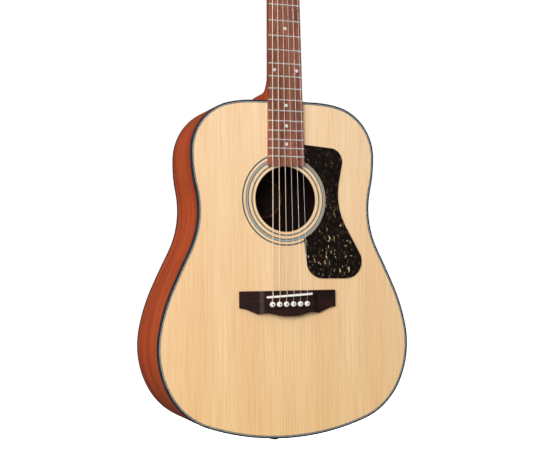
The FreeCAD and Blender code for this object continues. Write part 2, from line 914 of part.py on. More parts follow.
def headstock_overlay(screws):
    """The dark veneer on the headstock's face."""
    front = 0.3
    corners = [(nut_width / 2.0 + 0.2, front, 0.0), (headstock_start_half, headstock_start, 0.0)]
    corners += headstock_corners
    loop = corners + [(0.0, headstock_crown, 30.0)] + [(-x, z, radius) for x, z, radius in reversed(corners)]
    veneer = to_headstock(slab(rounded_loop(loop), -overlay_thickness, 0.0))
    tools = [to_headstock(rod_pocket())]
    for x, z, side in tuner_places():
        tools.append(to_headstock(rod(bushing_radius, V(x, -5, z), V(x, 5, z))))
    return veneer.cut(tools + screws)


# ---- bridge, saddle, pins, strings ----

def saddle_z(x):
    """The saddle's centre line: the bass end is set back."""
    bass, treble = saddle_compensation
    share = (x + saddle_half_length) / (2.0 * saddle_half_length)
    return bridge_z + bass + (treble - bass) * share


def saddle_blank(y0, y1):
    """The saddle's slim rounded plan between two heights."""
    bass = V(-saddle_half_length, 0, saddle_z(-saddle_half_length))
    treble = V(saddle_half_length, 0, saddle_z(saddle_half_length))
    along = (treble - bass).normalize()
    across = V(-along.z, 0, along.x) * (saddle_thickness / 2.0)
    cap = along * (saddle_thickness / 2.0)
    edges = [
        Part.makeLine(bass + across, treble + across),
        Part.Arc(treble + across, treble + cap, treble - across).toShape(),
        Part.makeLine(treble - across, bass - across),
        Part.Arc(bass - across, bass - cap, bass + across).toShape(),
    ]
    return slab(Part.Wire(edges), y0, y1)


def camber_drop(x):
    """How far the playing surface falls away from its crown at an offset."""
    return x * x / (2.0 * fingerboard_radius)


def saddle(strings):
    """The bone saddle with a cambered top, notched by the strings."""
    blank = saddle_blank(-saddle_top - 1.0, -bridge_thickness + saddle_slot_depth)
    start = V(0, fingerboard_radius - saddle_top, bridge_z - 30.0)
    cambered = blank.common(Part.makeCylinder(fingerboard_radius, 60.0, start, V(0, 0, 1)))
    return cambered.cut(strings)


def bridge(strings):
    """The rosewood bridge: a thick middle, hollowed wings, a saddle slot and pin holes."""
    corners = [(x, bridge_z + z, radius) for x, z, radius in bridge_corners]
    blank = slab(rounded_loop(mirrored_corners(corners)), -bridge_thickness, 0.0)
    tip = bridge_corners[0][0] + 1.0
    top = -bridge_thickness
    low = -bridge_wing_thickness - 1.2
    half = bridge_flat_half
    curve = Part.Arc(V(half, top, 0), V(half + bridge_scoop * 0.38, (top * 0.3 + low * 0.7), 0),
                     V(half + bridge_scoop, low, 0)).toShape()
    turns = [V(half + bridge_scoop, low, 0), V(tip, -bridge_wing_thickness, 0), V(tip, top - 2.0, 0),
             V(half, top - 2.0, 0), V(half, top, 0)]
    lines = [Part.makeLine(turns[index], turns[index + 1]) for index in range(len(turns) - 1)]
    wing = Part.Face(Part.Wire([curve] + lines))
    wing.translate(V(0, 0, bridge_z - 50.0))
    wing = wing.extrude(V(0, 0, 80.0))
    slot = saddle_blank(-bridge_thickness - 1.0, -bridge_thickness + saddle_slot_depth)
    tools = [wing, mirrored(wing), slot] + pin_cutters(-bridge_thickness - 1.0, 1.0)
    for x in pin_places():
        x0 = x - flute_half_width
        slot_end = pin_z + slot_reach + slot_ramp
        tools.append(block(x0, x0 + 2.0 * flute_half_width, top - 1.0, top + 2.2, pin_z, slot_end))
    return blank.cut(tools).cut(strings)


def bridge_pin(x):
    """A white pin with a round head, a dark dot and a flute for its string."""
    top = -bridge_thickness
    shaft = rod(pin_shaft_radius, V(x, top - 0.3, pin_z), V(x, top - 0.3 + pin_length, pin_z))
    flute = block(x - flute_half_width, x + flute_half_width, top + 0.5, top + pin_length + 1.0,
                  pin_z + flute_inner, pin_z + 5.0)
    shaft = shaft.cut(flute)
    ball = Part.makeSphere(pin_head_radius, V(x, top - 1.2, pin_z))
    lower = top - 1.2
    head = ball.common(block(x - 6, x + 6, lower - pin_head_height + 1.2, lower + 0.9, pin_z - 6, pin_z + 6))
    notch_start = pin_z + flute_inner
    notch = block(x - flute_half_width, x + flute_half_width, top - 1.0, top + 0.6, notch_start, pin_z + 6)
    return head.fuse(shaft).removeSplitter().cut(notch)


def string_line(index):
    """The centre line of one string, from its ball end to its wrap on the post."""
    radius = string_radii[index]
    place = index - 2.5
    x_pin = pin_places()[index]
    x_saddle = place * saddle_string_spacing
    x_nut = place * nut_string_spacing
    ball_y = soundboard_thickness + bridge_plate_thickness + ball_radius + 0.02
    run_z = pin_z + pin_shaft_radius - 0.3
    ball_z = run_z + string_loop_radius
    far = V(x_pin, ball_y, ball_z + string_loop_radius)
    under = V(x_pin, ball_y + string_loop_radius, ball_z)
    near = V(x_pin, ball_y, run_z)
    edges = [Part.Arc(far, under, near).toShape()]
    exit_point = V(x_pin, -bridge_thickness + 1.1, run_z)
    crest_y = -saddle_top + camber_drop(x_saddle) - radius - string_bend * 0.08
    crest = V(x_saddle, crest_y, saddle_z(x_saddle))
    nut_point = V(x_nut, -nut_string_height + camber_drop(x_nut) - radius, 0.8)
    x_post, z_post, side = tuner_places()[index]
    wrap = post_radius + radius + coil_gap
    local_nut = to_headstock_frame(nut_point)
    flat = V(x_post - local_nut.x, 0, z_post - local_nut.z)
    distance = flat.Length
    toward = flat * (1.0 / distance)
    inner = V(-side, 0, 0)
    across = inner - toward * inner.dot(toward)
    across.normalize()
    sine = wrap / distance
    cosine = math.sqrt(1.0 - sine * sine)
    radial = across * cosine - toward * sine
    centre = V(x_post, -coil_height, z_post)
    touch = centre + radial * wrap
    direction = (touch - local_nut).normalize()
    post_point = headstock_point(touch.x, touch.y, touch.z)
    edges += fillet_path([near, exit_point, crest, nut_point, post_point], string_bend)

    def around(degrees):
        angle = math.radians(degrees)
        point = centre + (radial * math.cos(angle) + direction * math.sin(angle)) * wrap
        return headstock_point(point.x, point.y, point.z)

    edges.append(Part.Arc(around(0), around(string_run_out / 2.0), around(string_run_out)).toShape())
    return edges, far


def to_headstock_frame(point):
    """A point of the guitar's frame, in the headstock's frame."""
    tilt = FreeCAD.Rotation(V(1, 0, 0), headstock_tilt)
    return tilt.multVec(point - V(0, 0, nut_thickness))


def string(index):
    """One string with its ball end."""
    edges, far = string_line(index)
    profile = Part.Wire([Part.makeCircle(string_radii[index], far, V(0, 1, 0))])
    wire = Part.Wire(edges).makePipeShell([profile], True, False)
    half = ball_length / 2.0
    waist = ball_waist_width / 2.0
    points = [
        (0.0, -half), (ball_radius, -half), (ball_radius, -waist), (ball_waist_radius, -waist),
        (ball_waist_radius, waist), (ball_radius, waist), (ball_radius, half), (0.0, half),
    ]
    centre = V(far.x, far.y, far.z - string_loop_radius)
    ball = turned(points, centre, V(1, 0, 0), V(0, 1, 0))
    return [wire, ball]


def nut(strings):
    """The bone nut, slotted for the strings."""
    half = nut_width / 2.0
    profile = [V(-half, 0, 0), V(-half, -nut_height, 0), V(-half, -nut_height, nut_thickness * 0.55),
               V(-half, -nut_height * 0.62, nut_thickness), V(-half, 0, nut_thickness)]
    blank = Part.Face(Part.makePolygon(profile + [profile[0]])).extrude(V(nut_width, 0, 0))
    start = V(0, fingerboard_radius - nut_height, -5.0)
    blank = blank.common(Part.makeCylinder(fingerboard_radius, 20.0, start, V(0, 0, 1)))
    tools = []
    for index, radius in enumerate(string_radii):
        x = (index - 2.5) * nut_string_spacing
        y = -nut_string_height + camber_drop(x) - radius
        corners = [V(x - radius, y - 3.0, -1), V(x - radius, y - 3.0, 8), V(x - radius, y + 3.0, 8),
                   V(x - radius, y, 0.8), V(x - radius, y, -1)]
        gap = Part.Face(Part.makePolygon(corners + [corners[0]]))
        tools.append(gap.extrude(V(2.0 * radius, 0, 0)))
    return blank.cut(tools).cut(strings)


# ---- tuners, in the tuner's frame: bass side, origin on the post's axis at the headstock's back ----

gear_pitch_radius = gear_teeth * gear_module / 2.0
worm_pitch = math.pi * gear_module
worm_offset = gear_pitch_radius + worm_pitch_radius
axis_y = plate_thickness + worm_axis_height
worm_centre = V(0, axis_y, -worm_offset)
worm_outer_radius = worm_pitch_radius + 0.55
gear_outer_radius = gear_pitch_radius + 0.5
gear_root_radius = gear_pitch_radius - 0.7
worm_angle = math.atan(worm_pitch / (2.0 * math.pi * worm_pitch_radius))


def tuner_plate():
    """The plate that carries one tuner, with two ears for the worm's shaft."""
    base = block(-plate_half_width, plate_half_width, 0, plate_thickness, -plate_below, plate_above)
    parts = []
    for side in (1.0, -1.0):
        x0, x1 = sorted((side * ear_inner, side * (ear_inner + ear_thickness)))
        z0 = worm_centre.z - ear_half
        z1 = worm_centre.z + ear_half
        foot = block(x0, x1, 0, axis_y, z0, z1)
        cap = rod(ear_half, V(x0, axis_y, worm_centre.z), V(x1, axis_y, worm_centre.z))
        parts += [foot, cap]
    tools = [
        rod(key_shaft_radius + running_clearance, worm_centre - V(20, 0, 0), worm_centre + V(20, 0, 0)),
        rod(post_radius + running_clearance, V(0, -5, 0), V(0, 5, 0)),
        rod(screw_shank_radius, V(0, -5, plate_above - 3.0), V(0, 5, plate_above - 3.0)),
        rod(screw_shank_radius, V(0, -5, -plate_below + 3.0), V(0, 5, -plate_below + 3.0)),
    ]
    return base.fuse(parts).cut(tools).removeSplitter()


def tuner_key():
    """The worm on its shaft, with two collars and an oval button."""
    ear_outer = ear_inner + ear_thickness + 0.1
    half = worm_length / 2.0
    shaft = rod(key_shaft_radius, worm_centre + V(ear_outer + key_collar, 0, 0),
                worm_centre - V(button_start + 3.0, 0, 0))
    collars = []
    for side in (1.0, -1.0):
        start = worm_centre + V(side * ear_outer, 0, 0)
        collars.append(rod(key_collar_radius, start, start + V(side * key_collar, 0, 0)))
    core = rod(worm_root_radius, worm_centre - V(half, 0, 0), worm_centre + V(half, 0, 0))
    wide = button_width / 2.0
    corners = [
        (-button_start, -wide * 0.62, button_corner), (-button_start, wide * 0.62, button_corner),
        (-button_start - button_length, wide, button_corner),
        (-button_start - button_length, -wide, button_corner),
    ]
    button = slab(rounded_loop(corners), -button_thickness / 2.0, button_thickness / 2.0)
    button = button.makeFillet(button_edge, button.Edges)
    button.translate(worm_centre)
    return shaft.fuse([core] + collars + [worm_thread(), button])


def worm_thread():
    """The worm's helical thread, with a tooth's middle at the gear's side on the post's plane."""
    sunk = 0.3
    inner = worm_root_radius - sunk
    turns = int((worm_length - 1.0) / worm_pitch)
    length = turns * worm_pitch
    helix = Part.makeHelix(worm_pitch, length, inner)
    rise = worm_outer_radius - inner
    foot = gear_tooth_width / 2.0 + 0.2
    tip = gear_tooth_width / 2.0 - 0.12
    profile = Part.makePolygon([
        V(inner, 0, -foot), V(inner + rise, 0, -tip), V(inner + rise, 0, tip),
        V(inner, 0, foot), V(inner, 0, -foot),
    ])
    thread = Part.Wire(helix).makePipeShell([profile], True, True)
    thread.translate(V(0, 0, -length / 2.0))
    thread.rotate(V(0, 0, 0), V(0, 1, 0), 90)
    thread.rotate(V(0, 0, 0), V(1, 0, 0), worm_phase(length))
    thread.translate(worm_centre)
    return thread


def worm_phase(length):
    """Turn that brings a thread's middle to the gear's side at the post's plane."""
    turns_to_middle = length / 2.0 / worm_pitch
    return 180.0 - 360.0 * turns_to_middle


def worm_wheel():
    """The gear on the post's end, with teeth slanted to the worm's lead."""
    lean = -math.tan(worm_angle) * gear_face
    hub = rod(gear_root_radius, V(0, axis_y - gear_face / 2.0, 0), V(0, axis_y + gear_face / 2.0, 0))
    root_half = gear_tooth_width / 2.0 + 0.22
    tip_half = gear_tooth_width / 2.0 - 0.14
    y0 = axis_y - gear_face / 2.0
    inner = gear_root_radius - 0.3
    corners = [V(-root_half - lean / 2.0, y0, -inner), V(-tip_half - lean / 2.0, y0, -gear_outer_radius),
               V(tip_half - lean / 2.0, y0, -gear_outer_radius), V(root_half - lean / 2.0, y0, -inner)]
    tooth = Part.Face(Part.makePolygon(corners + [corners[0]])).extrude(V(lean, gear_face, 0))
    teeth = []
    for index in range(gear_teeth):
        one = tooth.copy()
        one.rotate(V(0, 0, 0), V(0, 1, 0), 360.0 * (index + 0.5) / gear_teeth)
        teeth.append(one)
    wheel = hub.fuse(teeth)
    return wheel.cut(rod(post_radius - 1.0, V(0, 0, 0), V(0, 20, 0)))


def string_post(radius):
    """The post with its string hole and screw, and the turns of string wound on it."""
    front = -headstock_thickness - post_rise
    gear_face_y = axis_y - gear_face / 2.0
    gear_back_y = axis_y + gear_face / 2.0
    coil_y = -headstock_thickness - coil_height
    waist = post_radius - post_waist
    points = [
        (0.0, front), (waist, front), (post_radius, front + 0.8), (post_radius, front + 1.6),
        (waist, front + 2.4), (waist, coil_y - 2.8), (post_radius, coil_y - 2.2), (post_radius, gear_face_y),
        (post_radius - 1.0, gear_face_y), (post_radius - 1.0, gear_back_y), (0.0, gear_back_y),
    ]
    post = turned(points, V(0, 0, 0), V(0, 1, 0), V(1, 0, 0))
    hole_y = coil_y - 3.4
    post = post.cut(rod(0.9, V(-8, hole_y, 0), V(8, hole_y, 0)))
    head = rod(2.7, V(0, gear_back_y, 0), V(0, gear_back_y + 1.3, 0))
    groove = block(-4, 4, gear_back_y + 0.7, gear_back_y + 2.0, -0.4, 0.4)
    coils = []
    for turn in range(1, coil_turns + 1):
        y = coil_y + turn * (2.0 * radius + coil_gap)
        coils.append(Part.makeTorus(post_radius + radius, radius, V(0, y, 0), V(0, 1, 0)))
    return Part.makeCompound([post.fuse(head).cut(groove)] + coils)


def tuner_bushings():
    """The flanged sleeves that guide the posts at the headstock's face."""
    made = []
    for x, z, side in tuner_places():
        face = -overlay_thickness
        flange = rod(bushing_flange, V(x, face - bushing_flange_thickness, z), V(x, face, z))
        sleeve = rod(bushing_radius, V(x, face, z), V(x, face + bushing_length, z))
        bore = rod(post_radius + running_clearance, V(x, face - 5, z), V(x, face + bushing_length + 5, z))
        made.append(to_headstock(flange.fuse(sleeve).cut(bore)))
    return made


def end_pin():
    """The tail pin that takes a strap, turned, with a plain shaft in the tail block."""
    points = [(0.0, -end_pin_shaft_length), (end_pin_shaft_radius, -end_pin_shaft_length),
              (end_pin_shaft_radius, 0.05)] + end_pin_profile
    return turned(points, V(0, end_pin_depth, tail_z), V(0, 0, -1), V(1, 0, 0))


# ---- build every node ----

neck_block, tail_block = blocks()
bass_side, treble_side, wedge = sides()
black_lines, white_lines = edge_lines()
plate, plate_rear = bridge_plate()
all_screws = small_screws()
all_frets = frets()
all_dots = position_dots()
all_strings = [string(index) for index in range(6)]
string_wires = [parts[0] for parts in all_strings]
back_bars = back_bracing()

nodes["soundboard"] = soundboard()
nodes["back_plate"] = plan(side_thickness, 40.0, deep).common(back_outer).cut(back_inner)
nodes["side_bass"] = bass_side
nodes["side_treble"] = treble_side
binding = ring(0.0, side_thickness, 0.0, binding_height).cut(tenon())
nodes["top_binding"] = Part.makeCompound([binding] + [line.cut(tenon()) for line in black_lines])
nodes["top_purfling"] = Part.makeCompound([line.cut(tenon()) for line in white_lines])
nodes["back_binding"] = ring(0.0, side_thickness, 40.0, deep).common(back_outer).cut(back_binding_limit)
nodes["rosette"] = Part.makeCompound([ring_about_hole(a, b, 0.0, rosette_depth) for a, b in rosette_rings])
nodes["pickguard"] = pickguard()
nodes["bridge"] = bridge(string_wires)
nodes["saddle"] = saddle(string_wires)
nodes["bridge_plate"] = plate
nodes["x_brace"] = x_brace()
nodes["top_braces"] = top_braces(plate_rear)
nodes["back_braces"] = back_bars
nodes["linings"] = linings(neck_block, tail_block)
nodes["neck_block"] = neck_block
nodes["tail_block"] = tail_block
nodes["tail_wedge"] = wedge
nodes["label"] = label()
nodes["neck"] = neck(all_screws)
nodes["heel_cap"] = heel_cap()
board = board_plan(-fingerboard_thickness - 1.0, 0.0).common(board_camber())
nodes["fingerboard"] = board.cut(all_frets + all_dots)
nodes["frets"] = Part.makeCompound(all_frets)
nodes["position_dots"] = Part.makeCompound(all_dots)
nodes["nut"] = nut(string_wires)
nodes["headstock_overlay"] = headstock_overlay(all_screws)
nodes["truss_rod"] = truss_rod()
nodes["truss_rod_nut"] = truss_rod_nut()
nodes["truss_rod_cover"] = truss_rod_cover(all_screws)
nodes["tuner_bushings"] = Part.makeCompound(tuner_bushings())
nodes["small_screws"] = Part.makeCompound(all_screws)
nodes["wound_strings"] = Part.makeCompound(sum(all_strings[:wound_count], []))
nodes["plain_strings"] = Part.makeCompound(sum(all_strings[wound_count:], []))
nodes["end_pin"] = end_pin()
for index, x in enumerate(pin_places()):
    nodes["bridge_pin_%d" % (index + 1)] = bridge_pin(x)
one_plate = tuner_plate()
one_key = tuner_key()
one_wheel = worm_wheel()
plates = []
for index, (x, z, side) in enumerate(tuner_places()):
    number = index + 1
    plates.append(place_tuner(one_plate, x, z, side))
    nodes["tuner_key_%d" % number] = place_tuner(one_key, x, z, side)
    nodes["worm_wheel_%d" % number] = place_tuner(one_wheel, x, z, side)
    nodes["string_post_%d" % number] = place_tuner(string_post(string_radii[index]), x, z, side)
nodes["tuner_plates"] = Part.makeCompound(plates)

os.makedirs("parts", exist_ok=True)
for name, shape in nodes.items():
    shape.exportStep("parts/" + name + ".step")
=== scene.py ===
import bpy
import bmesh
import json
import math
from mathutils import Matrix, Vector

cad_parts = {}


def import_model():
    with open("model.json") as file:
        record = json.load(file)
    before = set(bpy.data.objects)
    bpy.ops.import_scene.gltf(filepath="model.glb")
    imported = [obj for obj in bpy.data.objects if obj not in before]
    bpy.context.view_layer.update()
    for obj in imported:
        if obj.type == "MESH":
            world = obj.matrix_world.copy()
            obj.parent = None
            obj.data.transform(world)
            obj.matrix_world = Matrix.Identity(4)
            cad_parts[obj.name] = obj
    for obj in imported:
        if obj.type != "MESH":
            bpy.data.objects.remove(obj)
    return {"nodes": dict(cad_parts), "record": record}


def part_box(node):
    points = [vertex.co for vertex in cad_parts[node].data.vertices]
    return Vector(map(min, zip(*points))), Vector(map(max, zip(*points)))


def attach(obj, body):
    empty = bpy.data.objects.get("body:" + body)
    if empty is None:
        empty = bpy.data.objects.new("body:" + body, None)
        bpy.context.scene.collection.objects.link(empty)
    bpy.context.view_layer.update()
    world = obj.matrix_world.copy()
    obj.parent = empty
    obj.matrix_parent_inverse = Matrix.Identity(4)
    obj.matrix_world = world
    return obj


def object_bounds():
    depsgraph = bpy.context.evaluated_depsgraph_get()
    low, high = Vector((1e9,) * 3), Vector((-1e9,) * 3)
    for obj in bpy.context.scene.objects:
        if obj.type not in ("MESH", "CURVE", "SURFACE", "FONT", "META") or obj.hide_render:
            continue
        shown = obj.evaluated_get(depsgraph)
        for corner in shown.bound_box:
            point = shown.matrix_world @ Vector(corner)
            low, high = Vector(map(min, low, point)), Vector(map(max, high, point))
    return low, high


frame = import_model()
cad_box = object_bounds()
nodes = frame["nodes"]
record = frame["record"]

MM = 0.001
BODY_MIDDLE_Y = 55.0 * MM
WINDING_PITCH = 0.34 * MM
FLAKE_WARP = 9.0 * MM
RING_SCALE = 100.0 * MM
DOT_RADIUS = 1.15 * MM
DOT_RISE = 0.16 * MM
DOT_DEPTH = 1.2 * MM
FLOOR_HALF = 30.0
FLOOR_DROP = 0.35
BACKDROP_STRENGTH = 1.05
BRIGHT_SIDE = Vector((-0.85, -0.35, 0.40)).normalized()
DIM_LIGHT = 0.045
BRIGHT_LIGHT = 0.55


# ---------------------------------------------------------------- node helpers

def linear(red, green, blue):
    """A colour given as 8-bit sRGB, in linear light."""
    out = []
    for value in (red, green, blue):
        c = value / 255.0
        out.append(c / 12.92 if c <= 0.04045 else ((c + 0.055) / 1.055) ** 2.4)
    return (out[0], out[1], out[2], 1.0)


class Shade:
    """Builds one procedural material. Lengths in it are metres of the object's own space."""

    def __init__(self, name, roughness=0.5, **sockets):
        self.material = bpy.data.materials.new(name)
        self.material.use_nodes = True
        self.tree = self.material.node_tree
        self.bsdf = self.tree.nodes["Principled BSDF"]
        self.set(Roughness=roughness, **sockets)
        self.place = self.tree.nodes.new("ShaderNodeTexCoord").outputs["Object"]
        split = self.add("ShaderNodeSeparateXYZ", self.place)
        self.x, self.y, self.z = split.outputs

    def set(self, **sockets):
        """Set or link the shader's sockets. Underscores stand for spaces."""
        for name, value in sockets.items():
            socket = self.bsdf.inputs[name.replace("_", " ")]
            if isinstance(value, bpy.types.NodeSocket):
                self.tree.links.new(value, socket)
            else:
                socket.default_value = value

    def add(self, kind, *inputs, **settings):
        """Add a node, feed its inputs in order and return it."""
        node = self.tree.nodes.new(kind)
        for name, value in settings.items():
            setattr(node, name, value)
        for index, value in enumerate(inputs):
            if value is None:
                continue
            if isinstance(value, bpy.types.NodeSocket):
                self.tree.links.new(value, node.inputs[index])
            else:
                node.inputs[index].default_value = value
        return node

    def math(self, operation, a, b=None):
        return self.add("ShaderNodeMath", a, b, operation=operation).outputs[0]

    def vector_math(self, operation, a, b, output="Vector"):
        return self.add("ShaderNodeVectorMath", a, b, operation=operation).outputs[output]

    def vector(self, x, y, z):
        return self.add("ShaderNodeCombineXYZ", x, y, z).outputs[0]

    def stretched(self, kx, ky, kz, x=None):
        """The place, scaled by a different number along each axis."""
        return self.vector(
            self.math("MULTIPLY", self.x if x is None else x, kx),
            self.math("MULTIPLY", self.y, ky),
            self.math("MULTIPLY", self.z, kz),
        )

    def noise(self, place, detail=2.0, rough=0.5, distortion=0.0):
        """Noise with one cycle to each unit of place."""
        node = self.add("ShaderNodeTexNoise", place)
        node.inputs["Scale"].default_value = 1.0
        node.inputs["Detail"].default_value = detail
        node.inputs["Roughness"].default_value = rough
        node.inputs["Distortion"].default_value = distortion
        return node.outputs["Fac"]

    def ramp(self, value, *stops, interpolation="LINEAR"):
        """A colour ramp. Each stop is (position, colour)."""
        node = self.add("ShaderNodeValToRGB", value)
        band = node.color_ramp
        band.interpolation = interpolation
        while len(band.elements) < len(stops):
            band.elements.new(0.5)
        for element, (position, colour) in zip(band.elements, stops):
            element.position = position
            element.color = colour
        return node.outputs[0]

    def mix(self, factor, a, b, blend="MIX"):
        node = self.add("ShaderNodeMix", data_type="RGBA", blend_type=blend)
        for socket, value in ((node.inputs[0], factor), (node.inputs[6], a), (node.inputs[7], b)):
            if isinstance(value, bpy.types.NodeSocket):
                self.tree.links.new(value, socket)
            else:
                socket.default_value = value
        return node.outputs[2]

    def span(self, value, low, high, to_low=0.0, to_high=1.0):
        """Map a value from one range to another, clamped."""
        return self.add("ShaderNodeMapRange", value, low, high, to_low, to_high).outputs[0]

    def bump(self, height, depth, strength):
        """A bump whose full height is depth metres."""
        node = self.add("ShaderNodeBump")
        node.inputs["Strength"].default_value = strength
        node.inputs["Distance"].default_value = depth
        self.tree.links.new(height, node.inputs["Height"])
        self.set(Normal=node.outputs[0])

    def inside(self):
        """1 on the body shell's inner faces: their normals point towards its middle."""
        normal = self.tree.nodes.new("ShaderNodeTexCoord").outputs["Normal"]
        centre = (0.0, BODY_MIDDLE_Y, (body_low.z + body_high.z) / 2.0)
        out = self.vector_math("SUBTRACT", self.place, centre)
        facing = self.vector_math("DOT_PRODUCT", normal, out, "Value")
        return self.math("LESS_THAN", facing, 0.0)

    def radius(self, x0, z0):
        """Distance from an axis along Y."""
        dx = self.math("SUBTRACT", self.x, x0)
        dz = self.math("SUBTRACT", self.z, z0)
        squares = self.math("ADD", self.math("MULTIPLY", dx, dx), self.math("MULTIPLY", dz, dz))
        return self.math("SQRT", squares)


# ---------------------------------------------------------------- places taken from the frame

def middle(node):
    low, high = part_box(node)
    return (low + high) / 2.0


def mount(name):
    return next(m for m in record["mounts"] if m["name"] == name)


hole = Vector(mount("soundhole")["pos_m"])
body_low, body_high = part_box("soundboard")


# ---------------------------------------------------------------- woods

def spruce():
    """Book-matched spruce: fine upright grain, soft wide bands and a thin lacquer."""
    s = Shade("spruce_top", roughness=0.38, Coat_Weight=0.25, Coat_Roughness=0.22)
    across = s.math("ABSOLUTE", s.x)
    wander = s.math("MULTIPLY", s.noise(s.stretched(14.0, 0.0, 3.0, across)), 0.004)
    across = s.math("ADD", across, wander)
    fine = s.noise(s.stretched(900.0, 0.0, 9.0, across), detail=3.0, rough=0.7)
    medium = s.noise(s.stretched(330.0, 0.0, 4.0, across))
    band = s.noise(s.stretched(80.0, 0.0, 1.2, across))
    wide = s.noise(s.stretched(13.0, 0.0, 1.2, across), detail=1.0)
    silk = s.noise(s.stretched(160.0, 0.0, 900.0))
    light = linear(253, 225, 184)
    warm = linear(247, 209, 163)
    line = linear(229, 180, 128)
    base = s.mix(s.span(wide, 0.35, 0.65), light, warm)
    base = s.mix(s.span(band, 0.50, 0.66, 0.0, 0.4), base, warm)
    base = s.mix(s.span(medium, 0.50, 0.70, 0.0, 0.32), base, line)
    base = s.mix(s.span(fine, 0.45, 0.72, 0.0, 0.85), base, line)
    base = s.mix(s.span(silk, 0.45, 0.75, 0.0, 0.08), base, linear(255, 230, 196))
    # Towards the bottom the top is painted darker and warmer: painted shade of the light falling off from
    # the upper left. Towards the treble side it is tinted slightly cooler.
    lower = s.span(s.z, -0.42, -0.86)
    right = s.span(s.x, -0.20, 0.20)
    base = s.mix(lower, base, (0.955, 0.86, 0.68, 1.0), "MULTIPLY")
    base = s.mix(right, base, (0.99, 1.02, 1.07, 1.0), "MULTIPLY")
    s.set(Base_Color=base)
    s.bump(fine, 0.00004, 0.35)
    return s.material


def mahogany(name, light, mid, dark, coat, along="neck", shell=False):
    """Lacquered mahogany: pores as short dark streaks, ribbon figure across them."""
    roughness = 0.36
    s = Shade(name, roughness=roughness, Coat_Weight=coat, Coat_Roughness=0.18)
    if along == "outline":
        pores = s.noise(s.stretched(60.0, 1500.0, 60.0), detail=3.0, rough=0.7)
        streak = s.noise(s.stretched(10.0, 260.0, 10.0), detail=3.0, rough=0.6)
        ribbon = s.noise(s.stretched(4.0, 45.0, 4.0))
    else:
        pores = s.noise(s.stretched(1400.0, 1400.0, 55.0), detail=3.0, rough=0.7)
        streak = s.noise(s.stretched(240.0, 240.0, 9.0), detail=3.0, rough=0.6)
        ribbon = s.noise(s.stretched(40.0, 40.0, 4.0))
    base = s.mix(s.span(ribbon, 0.35, 0.68), light, mid)
    base = s.mix(s.span(streak, 0.48, 0.72, 0.0, 0.6), base, dark)
    base = s.mix(s.span(pores, 0.55, 0.72, 0.0, 0.65), base, dark)
    # With shell set, the body's inner faces are painted near-black: painted shade inside the closed body.
    if shell:
        base = s.mix(s.inside(), base, linear(28, 9, 6))
    s.set(Base_Color=base)
    s.set(Roughness=s.span(pores, 0.4, 0.7, roughness, roughness + 0.14))
    s.bump(pores, 0.00006, 0.3)
    return s.material


def rosewood(name, light, mid, dark, kx, kz):
    """Open-grained rosewood, oiled and not lacquered, with dark streaks along one axis."""
    roughness = 0.5
    s = Shade(name, roughness=roughness, Specular_IOR_Level=0.3)
    pores = s.noise(s.stretched(kx * 9.0, 300.0, kz * 9.0), detail=3.0, rough=0.7)
    streak = s.noise(s.stretched(kx * 2.2, 60.0, kz * 2.2), detail=4.0, rough=0.65, distortion=0.4)
    wide = s.noise(s.stretched(kx * 0.5, 20.0, kz * 0.5))
    base = s.mix(s.span(wide, 0.35, 0.65), light, mid)
    base = s.mix(s.span(streak, 0.45, 0.68, 0.0, 0.85), base, dark)
    base = s.mix(s.span(pores, 0.55, 0.72, 0.0, 0.6), base, dark)
    s.set(Base_Color=base, Roughness=s.span(pores, 0.4, 0.7, roughness, roughness + 0.15))
    s.bump(pores, 0.00008, 0.4)
    return s.material


def shaded_inside_wood(name, light, dark, kx, ky, kz):
    """Bare inside wood with a straight grain, in colours darkened as painted shade of the closed body."""
    s = Shade(name, roughness=0.62)
    grain = s.noise(s.stretched(kx, ky, kz), detail=4.0, rough=0.6)
    s.set(Base_Color=s.mix(s.span(grain, 0.35, 0.7), light, dark))
    s.bump(grain, 0.0001, 0.3)
    return s.material


# ---------------------------------------------------------------- plastics, shell, bone, paper

def plastic(name, colour, second, roughness=0.25):
    """Polished plastic with a trace of mottling and fine polishing marks."""
    s = Shade(name, roughness=roughness, Coat_Weight=0.4, Coat_Roughness=0.08)
    cloud = s.noise(s.stretched(90.0, 90.0, 90.0))
    fine = s.noise(s.stretched(900.0, 900.0, 900.0))
    s.set(Base_Color=s.mix(s.span(cloud, 0.35, 0.65), colour, second))
    s.set(Roughness=s.span(fine, 0.3, 0.7, roughness * 0.85, roughness * 1.2))
    s.bump(fine, 0.00001, 0.2)
    return s.material


def bone(name):
    """Bone: pale, with faint long pores."""
    s = Shade(name, roughness=0.28, Subsurface_Weight=0.08, Subsurface_Radius=(0.002, 0.0015, 0.001))
    pores = s.noise(s.stretched(300.0, 900.0, 900.0), detail=3.0)
    pale = linear(250, 247, 238)
    pore = linear(226, 214, 190)
    s.set(Base_Color=s.mix(s.span(pores, 0.5, 0.75, 0.0, 0.35), pale, pore))
    s.bump(pores, 0.00002, 0.2)
    return s.material


